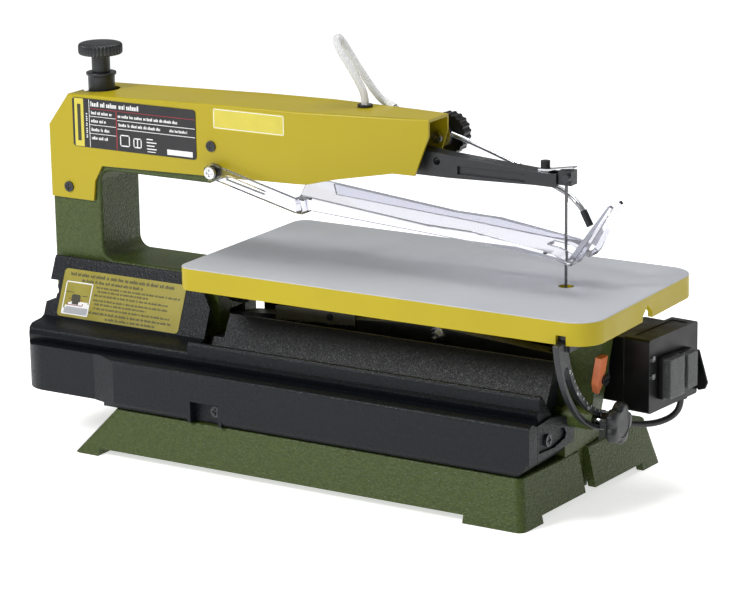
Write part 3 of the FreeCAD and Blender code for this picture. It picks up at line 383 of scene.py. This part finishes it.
# node, body, slot, width of the rounded edge in millimetres, segments
SOFT = (
    ("base_casting", "root", "green_casting", 1.6, 3), ("frame_casting", "root", "green_casting", 1.4, 3),
    ("arm_cover", "root", "yellow_shell", 1.2, 3), ("drive_housing", "root", "black_plastic", 1.2, 3),
    ("far_cover", "root", "black_plastic", 1.0, 3),
    ("saw_table", "table", "table_paint", 0.5, 2), ("front_trunnion", "table", "dark_metal", 0.6, 2),
    ("rear_trunnion", "table", "dark_metal", 0.6, 2), ("upper_arm", "upper_rocker", "dark_metal", 1.0, 3),
    ("lower_arm", "lower_rocker", "dark_metal", 1.0, 3),
    ("air_knob", "air_knob_body", "black_plastic", 0.8, 3), ("switch_box", "root", "black_plastic", 1.0, 3),
    ("switch_panel", "root", "black_plastic", 0.5, 2), ("switch_frames", "root", "black_plastic", 0.6, 2),
    ("switch_boots", "root", "clear_plastic", 1.2, 3), ("tilt_pointer", "root", "pointer_orange", 0.8, 3),
    ("blade_guard", "guard", "clear_plastic", 0.3, 2),
    ("tension_collar", "tension_link", "bright_steel", 0.6, 2),
    ("blade_holders", "blade_carrier", "dark_metal", 0.6, 2),
    ("power_rocker", "power_key", "black_plastic", 1.0, 3),
    ("speed_rocker", "speed_key", "black_plastic", 1.0, 3),
    ("motor_plate", "root", "plate_aluminium", 0.4, 2),
    ("connecting_rod", "conrod", "plate_aluminium", 0.5, 2),
    ("switch_bracket", "root", "dark_metal", 0.8, 2),
    ("box_side_guard", "root", "black_plastic", 0.5, 2), ("motor_body", "root", "bright_steel", 1.2, 3),
)


def make_shells():
    for row in SOFT:
        softened(*row)


# ------------------------------------------------------------------ turned knobs

KNOB_EDGE_ANGLE = math.radians(40)
AXIS_FRAMES = {"X": ((0, 1, 0), (0, 0, 1), (1, 0, 0)), "Z": ((1, 0, 0), (0, 1, 0), (0, 0, 1))}


def turned(node, body, mat, axis, spot, profile, flutes, depth, power, steps):
    """A turned knob, standing for its CAD node. profile is (place along the axis, radius, flute share).
    A higher power makes the flutes narrower and the lobes between them broader."""
    across, beside, along = (Vector(each) for each in AXIS_FRAMES[axis])
    points, faces = [], []
    for place, radius, share in profile:
        for i in range(steps):
            angle = 2 * math.pi * i / steps
            valley = ((1 - math.cos(flutes * angle)) / 2) ** power
            reach = radius - depth * share * valley
            points.append((Vector(spot) + along * place
                           + (across * math.cos(angle) + beside * math.sin(angle)) * reach) * MM)
    for row in range(len(profile) - 1):
        for i in range(steps):
            j = (i + 1) % steps
            faces.append((row * steps + i, row * steps + j, (row + 1) * steps + j, (row + 1) * steps + i))
    faces.append(tuple(range(steps - 1, -1, -1)))
    faces.append(tuple((len(profile) - 1) * steps + i for i in range(steps)))
    mesh = bpy.data.meshes.new(node + "_skin")
    mesh.from_pydata(points, [], faces)
    for face in mesh.polygons:
        face.use_smooth = True
    mesh.set_sharp_from_angle(angle=KNOB_EDGE_ANGLE)
    link(node + "_skin", mesh, mat, body, node)


def make_knobs():
    star = [
        (226.8, 6.2, 0), (234.2, 6.2, 0), (234.7, 8.5, 0), (235.1, 14.2, 0.8), (236.0, 15.9, 1),
        (237.4, 16.5, 1), (240.6, 16.5, 1), (242.0, 16.0, 1), (242.9, 15.0, 0.95), (243.4, 13.6, 0.8),
        (243.65, 11.8, 0.3), (243.7, 10.2, 0), (243.2, 9.7, 0), (243.15, 9.3, 0), (243.4, 5.0, 0),
        (243.5, 1.0, 0),
    ]
    turned("star_knob", "clamp_knob", KNOB, "X", (0, -27.9, 70.7), star,
           flutes=5, depth=3.4, power=2.0, steps=140)
    tension = [
        (289.3, 7.5, 0), (302.4, 7.5, 0), (302.9, 8.3, 0), (303.3, 15.6, 0), (303.7, 17.0, 0.4),
        (304.5, 17.8, 1), (306.0, 18.0, 1), (310.2, 18.0, 1), (311.4, 17.7, 1), (312.2, 16.9, 0.6),
        (312.7, 15.4, 0), (313.0, 12.5, 0), (313.2, 8.0, 0), (313.3, 1.0, 0),
    ]
    turned("tension_knob", "tension_knob_body", KNOB, "Z", (-243, 0, 0), tension,
           flutes=36, depth=0.8, power=1.0, steps=288)


# ------------------------------------------------------------------ labels and printed marks

def sticker(name, mat, body, slot, origin, up, width, height, corner, thick, node=None):
    """A thin label with round corners; its lower left corner is at origin and it runs along +X."""
    right, up = Vector((1, 0, 0)), Vector(up).normalized()
    inward = up.cross(right)
    outline = []
    for a, b, start in ((width - corner, corner, -90), (width - corner, height - corner, 0),
                        (corner, height - corner, 90), (corner, corner, 180)):
        for i in range(7):
            angle = math.radians(start + 15 * i)
            outline.append((a + corner * math.cos(angle), b + corner * math.sin(angle)))
    count = len(outline)
    points = [(Vector(origin) + right * a + up * b + inward * c) * MM
              for c in (0, thick) for a, b in outline]
    faces = [tuple(range(count)), tuple(range(2 * count - 1, count - 1, -1))]
    faces += [(i, i + count, (i + 1) % count + count, (i + 1) % count) for i in range(count)]
    mesh = bpy.data.meshes.new(name)
    mesh.from_pydata(points, [], faces)
    link(name, mesh, mat, body, node)


UPRIGHT = (0, 0, 1)
ALONG = (1, 0, 0)
WORD_RHYTHM = (3.1, 1.7, 4.2, 2.3, 5.0, 1.4, 3.6, 2.8, 1.9, 4.6)


def text_marks(left, right, middle, height, start=0):
    """Short bars that stand for a line of print, with no lettering."""
    rects, x, i = [], left, start
    while x < right - 0.6:
        length = min(WORD_RHYTHM[i % 10] * height * 0.62, right - x)
        stroke = x
        while stroke < x + length - 0.2:
            wide = height * (0.34 if (i + len(rects)) % 3 else 0.22)
            tall = height * (1.0 if (i + len(rects)) % 4 == 0 else 0.72)
            rects.append((stroke, middle - height * 0.5, min(wide, x + length - stroke), tall))
            stroke += wide + height * 0.13
        x += length + height * 0.45
        i += 1
    return rects


def frame_marks(left, bottom, width, height, line):
    """The four bars of a rectangular outline."""
    return [(left, bottom, width, line), (left, bottom + height - line, width, line),
            (left, bottom, line, height), (left + width - line, bottom, line, height)]


def make_rating_plate():
    place = ("root", "label_black")
    origin = (-251, -30, 232.5)
    sticker("rating_plate_skin", LABEL_BLACK, *place, origin, UPRIGHT, 120, 40, 2.6, 0.5, "rating_plate")
    bars("plate_yellow_strip", origin, ALONG, UPRIGHT, [(2.1, 0.4, 9.0, 39.2)], LABEL_YELLOW_BRIGHT, *place)
    bars("plate_strip_mark", origin, ALONG, UPRIGHT, [(4.9, 5.0, 3.4, 30.0)], INK, *place, lift=0.08)
    white = text_marks(18.4, 67, 36.0, 4.0)
    white += [(16.5, 0.5, 0.5, 39.0), (17, 25.6, 25.6, 0.45), (17, 18.7, 25.6, 0.45), (17, 11.6, 25.6, 0.45),
              (44.2, 24.5, 75.2, 0.5), (44.2, 17.6, 75.2, 0.5), (92.2, 1.7, 24.4, 4.3)]
    for row, (end, middle) in enumerate(((39, 28.9), (33, 22.3), (36, 15.2), (35, 8.4))):
        white += text_marks(18.6, end, middle, 2.6, row * 2)
    white += text_marks(45, 104, 28.3, 2.5, 1) + text_marks(45.5, 86, 21.3, 2.5, 4)
    white += text_marks(95, 112, 21.3, 2.3, 7)
    white += [(13.4, z, 1.3, 1.0) for z in (8.0, 9.6, 11.8, 13.4, 15.0, 17.6, 19.2, 21.6, 23.2, 24.8, 27.0)]
    white += frame_marks(46.5, 4.0, 9.5, 9.5, 0.9) + frame_marks(59.5, 4.0, 8.0, 8.0, 0.9)
    white += [(63.0, 4.9, 1.0, 6.2), (72.5, 4.0, 9.5, 0.9), (72.5, 6.6, 7.5, 0.9), (72.5, 9.2, 9.5, 0.9),
              (72.5, 11.8, 6.0, 0.9), (73.0, 1.9, 8.0, 0.6)]
    bars("plate_white_marks", origin, ALONG, UPRIGHT, white, WHITE, *place)
    red = [(17, 31.9, 102.6, 0.55), (42.8, 0.6, 1.1, 31.2)]
    bars("plate_red_lines", origin, ALONG, UPRIGHT, red, RED, *place)


SLOPE_UP = (0, 0.3861, 0.9224)


def make_instruction_plate():
    """The instruction label on the housing's slope, with a picture of the saw in plain shapes."""
    place = ("root", "label_yellow")
    origin = (-259, -52.24, 94.81)
    sticker("instruction_plate_skin", LABEL_YELLOW, *place, origin, SLOPE_UP, 120, 39.5, 3.2, 0.5,
            "instruction_plate")
    ink = text_marks(6.5, 111, 35.7, 2.9) + text_marks(18.5, 79, 31.2, 2.5, 3)
    lines = ((34, 117, 27.3), (36, 86, 24.2), (33, 106, 20.8), (33, 107, 16.9), (35, 86, 13.8),
             (35, 110, 10.3), (31, 112, 6.4), (48, 97, 2.7))
    for row, (start, end, middle) in enumerate(lines):
        ink += text_marks(start, end, middle, 1.9 if row < 6 else 2.2, row * 3)
    for name, rects, mat, lift in (
            ("instruction_print", ink, INK, 0.05),
            ("pictogram_frame", frame_marks(3.8, 2.2, 26.6, 27.2, 0.9), WHITE, 0.05),
            ("pictogram_white", [(4.7, 3.1, 24.8, 4.0), (6.4, 7.1, 23.1, 2.6), (9.0, 9.7, 20.5, 2.4),
                                 (11.4, 12.1, 17.0, 1.4)], WHITE, 0.05),
            ("pictogram_grey", [(6.2, 3.1, 23.2, 4.6), (8.0, 7.7, 21.4, 1.0)], GREY, 0.08),
            ("pictogram_knob", [(11.6, 13.0, 8.8, 5.2), (12.8, 10.8, 6.4, 2.4), (12.4, 18.2, 7.2, 0.9),
                                (5.6, 20.4, 7.4, 0.5), (21.6, 18.2, 5.6, 0.5)], INK, 0.11),
            ("pictogram_red", [(8.8, 9.9, 14.6, 0.6), (8.0, 10.4, 0.8, 1.4), (23.2, 10.4, 0.8, 1.6),
                               (9.4, 14.9, 1.4, 1.0), (21.0, 14.2, 1.4, 1.0)], RED, 0.13)):
        bars(name, origin, ALONG, SLOPE_UP, rects, mat, *place, lift=lift)


def make_side_sticker():
    """The maker's sticker on the cover's side, left blank."""
    place = ("root", "label_yellow")
    origin = (-114.5, -29.72, 259.4)
    sticker("side_sticker", LABEL_YELLOW_BRIGHT, *place, origin, UPRIGHT, 66.5, 16.6, 1.2, 0.2)
    edge = frame_marks(0.7, 0.7, 65.1, 15.2, 0.55)
    bars("side_sticker_edge", origin, ALONG, UPRIGHT, edge, WHITE, *place)


# ------------------------------------------------------------------ tilt scale

TILT_HEIGHT = 159
SCALE_START = 17.6
SCALE_FACE = 226.03
TICK_INNER, TICK_OUTER, LONG_TICK_OUTER = 84.8, 86.9, 87.4
TICK_HALF = 0.17
DIGIT_RADIUS, DIGIT_OFFSET, DIGIT_SIZE = 88.2, 2.6, 3.4


def scale_point(radius, degrees, lift=0.0):
    """A place on the trunnion's face, by its radius and angle about the table's tilt axis."""
    angle = math.radians(degrees)
    return Vector((SCALE_FACE + lift, -radius * math.sin(angle), TILT_HEIGHT - radius * math.cos(angle)))


def make_tilt_scale():
    points, faces = [], []
    for step in range(10):
        middle = SCALE_START + 5 * step
        outer = TICK_OUTER if step % 3 else LONG_TICK_OUTER
        start = len(points)
        for radius, side in ((TICK_INNER, -TICK_HALF), (outer, -TICK_HALF), (outer, TICK_HALF),
                             (TICK_INNER, TICK_HALF)):
            points.append(scale_point(radius, middle + side, 0.03) * MM)
        faces.append((start, start + 1, start + 2, start + 3))
    mesh = bpy.data.meshes.new("tilt_scale_ticks")
    mesh.from_pydata(points, [], faces)
    link("tilt_scale_ticks", mesh, WHITE, "table")
    for degrees in (0, 15, 30, 45):
        text = bpy.data.curves.new("tilt_digit_%d" % degrees, "FONT")
        text.body = str(degrees)
        text.size = DIGIT_SIZE * MM
        text.extrude = 0.02 * MM
        text.align_x, text.align_y = "CENTER", "CENTER"
        text.materials.append(WHITE)
        digit = bpy.data.objects.new("tilt_digit_%d" % degrees, text)
        bpy.context.scene.collection.objects.link(digit)
        angle = SCALE_START + degrees + DIGIT_OFFSET
        inward = (Vector((0, 0, TILT_HEIGHT)) - Vector((0, *scale_point(1, angle)[1:]))).normalized()
        side = inward.cross(Vector((1, 0, 0)))
        turn = Matrix((side, inward, Vector((1, 0, 0)))).transposed().to_4x4()
        digit.matrix_world = Matrix.Translation(scale_point(DIGIT_RADIUS, angle, 0.04) * MM) @ turn
        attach(digit, "table")


# ------------------------------------------------------------------ lower arm and blade

ARM_SIDE = -8.5
BLADE_LOW, TEETH_LOW, TEETH_HIGH, BLADE_HIGH = 106, 124.0, 226, 246
TOOTH_PITCH = 1.6


def make_lower_arm_face():
    """The machined face on the side of the lower arm, in a grey partly painted lighter to stand in for light
    that the table's shade keeps off it, with a painted highlight strip (bright steel) along its lower edge.
    """
    face = [(-74, 104.6), (0, 108.2), (0, 119), (-74, 116)]
    # A bright steel strip along the face's lower edge: a painted highlight, not a separate part.
    edge = [(-73, 104.8), (-1, 108.3), (-1, 109.1), (-73, 105.6)]
    for name, mat, lift, outline in (("lower_arm_face", ARM_FACE, 0.05, face),
                                     ("lower_arm_face_painted_highlight", STEEL, 0.12, edge)):
        side = ARM_SIDE - lift
        mesh = bpy.data.meshes.new(name)
        mesh.from_pydata([(x * MM, side * MM, z * MM) for x, z in outline], [], [(0, 1, 2, 3)])
        link(name, mesh, mat, "lower_rocker")


def make_blade():
    """The saw blade with its teeth, which point down and forward."""
    rear, front, half = 179.75, 182.25, 0.25
    outline = [(rear, BLADE_LOW), (front, BLADE_LOW), (front, TEETH_LOW)]
    height = TEETH_LOW
    while height < TEETH_HIGH:
        outline += [(front, height + 0.15), (front - 0.75, height + 0.55), (front, height + TOOTH_PITCH)]
        height += TOOTH_PITCH
    outline += [(front, BLADE_HIGH), (rear, BLADE_HIGH)]
    count = len(outline)
    bm = bmesh.new()
    sides = [[bm.verts.new((x * MM, y * MM, z * MM)) for x, z in outline] for y in (-half, half)]
    bm.faces.new(sides[0])
    bm.faces.new(sides[1][::-1])
    for i in range(count):
        j = (i + 1) % count
        bm.faces.new((sides[0][i], sides[1][i], sides[1][j], sides[0][j]))
    bmesh.ops.recalc_face_normals(bm, faces=bm.faces)
    bmesh.ops.triangulate(bm, faces=[face for face in bm.faces if len(face.verts) > 4])
    mesh = bpy.data.meshes.new("saw_blade_skin")
    bm.to_mesh(mesh)
    bm.free()
    link("saw_blade_skin", mesh, BLADE, "blade_carrier", "saw_blade")


finish_nodes()
make_camera()
make_cords()
make_shells()
make_knobs()
make_rating_plate()
make_instruction_plate()
make_side_sticker()
make_tilt_scale()
make_lower_arm_face()
make_blade()
make_studio()
